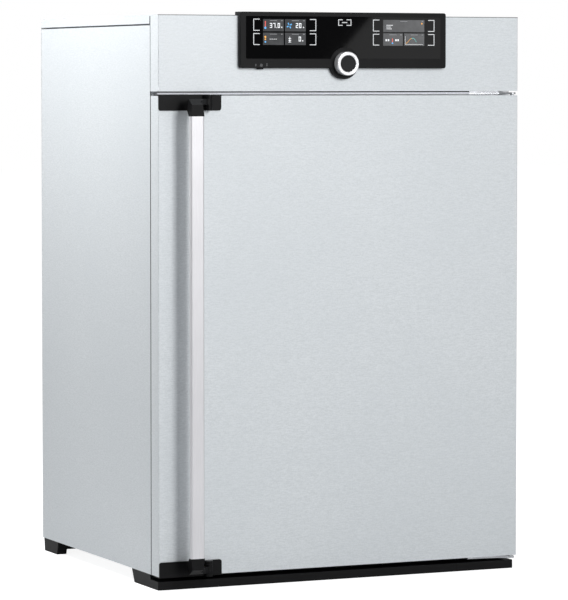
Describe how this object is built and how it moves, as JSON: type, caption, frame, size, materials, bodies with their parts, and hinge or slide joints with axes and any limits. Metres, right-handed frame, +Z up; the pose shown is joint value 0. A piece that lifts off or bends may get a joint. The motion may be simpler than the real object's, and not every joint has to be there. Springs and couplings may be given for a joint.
{
  "type": "laboratory incubator",
  "caption": "Cabinet incubator with textured steel casing, long bar handle, inner glass door, wire shelves, plinth and a raised glass control panel with a rotary knob.",
  "frame": {"origin": "on the floor under the middle of the bounding box, with the doors and the handle closed", "axes": "+X towards the hinge side, -Y towards the user in front of the door, +Z up"},
  "size_m": [0.824, 0.74, 1.183],
  "materials": {
    "textured_steel": "linen-rolled stainless steel with a light blue-grey sheen",
    "chamber_steel": "smooth satin stainless steel",
    "galvanised_sheet": "plain galvanised sheet",
    "hinge_steel": "bright turned and bent steel",
    "shelf_wire": "electropolished stainless wire",
    "black_steel": "black oxide, matt",
    "bar_aluminium": "satin anodised extrusion",
    "fan_aluminium": "stamped aluminium",
    "black_plastic": "fine-grained moulded plastic",
    "dark_plastic": "moulded plastic, slightly textured",
    "knob_plastic": "satin silver plastic",
    "key_plastic": "satin plastic",
    "panel_glass": "black-backed glass, polished",
    "door_glass": "clear toughened glass",
    "display_film": "dark display face, off",
    "seal_silicone": "translucent grey silicone",
    "gasket_silicone": "grey silicone",
    "wool_insulation": "mineral wool slab",
    "heater_film": "silicone heater mat",
    "circuit_board": "green circuit board with components",
    "motor_steel": "black enamel",
    "actuator_plastic": "off-white moulded plastic"
  },
  "bodies": {
    "cabinet": {"left_side_panel": "textured_steel", "right_side_panel": "textured_steel", "lid_panel": "textured_steel", "bottom_panel": "galvanised_sheet", "rear_panel": "galvanised_sheet", "cabinet_screws": "hinge_steel", "front_frame": "chamber_steel", "chamber_left_wall": "chamber_steel", "chamber_right_wall": "chamber_steel", "chamber_ceiling": "chamber_steel", "chamber_floor": "chamber_steel", "chamber_rear_wall": "chamber_steel", "heater_mats": "heater_film", "chamber_insulation": "wool_insulation", "chamber_seal": "seal_silicone", "fan_baffle": "chamber_steel", "temperature_probes": "hinge_steel", "fan_motor": "motor_steel", "exhaust_pipe": "chamber_steel", "vent_motor": "actuator_plastic", "electronics_tray": "galvanised_sheet", "control_board": "circuit_board", "power_supply": "galvanised_sheet", "mains_inlet": "black_plastic", "control_fascia": "textured_steel", "cockpit_housing": "black_plastic", "cockpit_glass": "panel_glass", "display_modules": "display_film", "knob_encoder": "dark_plastic", "upper_hinge_bracket": "hinge_steel", "lower_hinge_bracket": "hinge_steel", "glass_hinge_posts": "hinge_steel", "glass_latch_keeper": "chamber_steel", "front_foot_left": "black_plastic", "front_foot_right": "black_plastic", "front_plinth_bar": "black_plastic", "rear_foot_rail": "black_plastic"},
    "door": {"door_outer_skin": "textured_steel", "door_inner_liner": "chamber_steel", "door_insulation": "wool_insulation", "door_gasket": "gasket_silicone", "door_hinge_bushes": "hinge_steel", "handle_mount_upper": "dark_plastic", "handle_mount_lower": "dark_plastic", "handle_pivot_pins": "black_steel"},
    "handle": {"handle_bar": "bar_aluminium", "handle_arm_upper": "dark_plastic", "handle_arm_lower": "dark_plastic", "latch_hooks": "black_steel"},
    "glass_door": {"glass_pane": "door_glass", "glass_hinge_clamps": "hinge_steel"},
    "turn_latch": {"glass_latch": "dark_plastic"},
    "knob": {"knob_ring": "knob_plastic"},
    "confirm_key": {"confirm_button": "key_plastic"},
    "switch_key": {"main_switch": "key_plastic"},
    "fan": {"fan_wheel": "fan_aluminium"},
    "flap": {"vent_flap": "chamber_steel"},
    "low_shelf": {"shelf_lower": "shelf_wire"},
    "high_shelf": {"shelf_upper": "shelf_wire"}
  },
  "joints": [
    {"name": "door_hinge", "type": "hinge", "parent": "cabinet", "child": "door", "pos_m": [0.404, -0.302, 0.52], "axis": [0, 0, 1], "range_deg": [0, 125]},
    {"name": "glass_hinge", "type": "hinge", "parent": "cabinet", "child": "glass_door", "pos_m": [0.349, -0.264, 0.52], "axis": [0, 0, 1], "range_deg": [0, 100]},
    {"name": "handle_swing", "type": "hinge", "parent": "door", "child": "handle", "pos_m": [-0.306, -0.326, 0.52], "axis": [0, 0, 1], "range_deg": [0, 50]},
    {"name": "turn_latch_turn", "type": "hinge", "parent": "glass_door", "child": "turn_latch", "pos_m": [-0.338, -0.262, 0.52], "axis": [0, -1, 0], "range_deg": [0, 90]},
    {"name": "knob_spin", "type": "hinge", "parent": "cabinet", "child": "knob", "pos_m": [0, -0.336, 1.077], "axis": [0, -1, 0], "continuous": true},
    {"name": "confirm_press", "type": "slide", "parent": "cabinet", "child": "confirm_key", "axis": [0, 1, 0], "range_m": [0, 0.0015], "stiffness_N_per_m": 200, "springref_m": -0.002},
    {"name": "switch_press", "type": "slide", "parent": "cabinet", "child": "switch_key", "axis": [0, 0, 1], "range_m": [0, 0.002], "stiffness_N_per_m": 300, "springref_m": -0.002},
    {"name": "fan_spin", "type": "hinge", "parent": "cabinet", "child": "fan", "pos_m": [0, 0.3, 0.52], "axis": [0, 1, 0], "continuous": true},
    {"name": "flap_turn", "type": "hinge", "parent": "cabinet", "child": "flap", "pos_m": [0.2, 0.2824, 0.868], "axis": [1, 0, 0], "range_deg": [0, 90]},
    {"name": "low_shelf_slide", "type": "slide", "parent": "cabinet", "child": "low_shelf", "axis": [0, -1, 0], "range_m": [0, 0.035]},
    {"name": "high_shelf_slide", "type": "slide", "parent": "cabinet", "child": "high_shelf", "axis": [0, -1, 0], "range_m": [0, 0.035]}
  ],
  "couplings": [
    {"joint": "glass_hinge", "follows": "door_hinge", "ratio": 0.8}
  ]
}
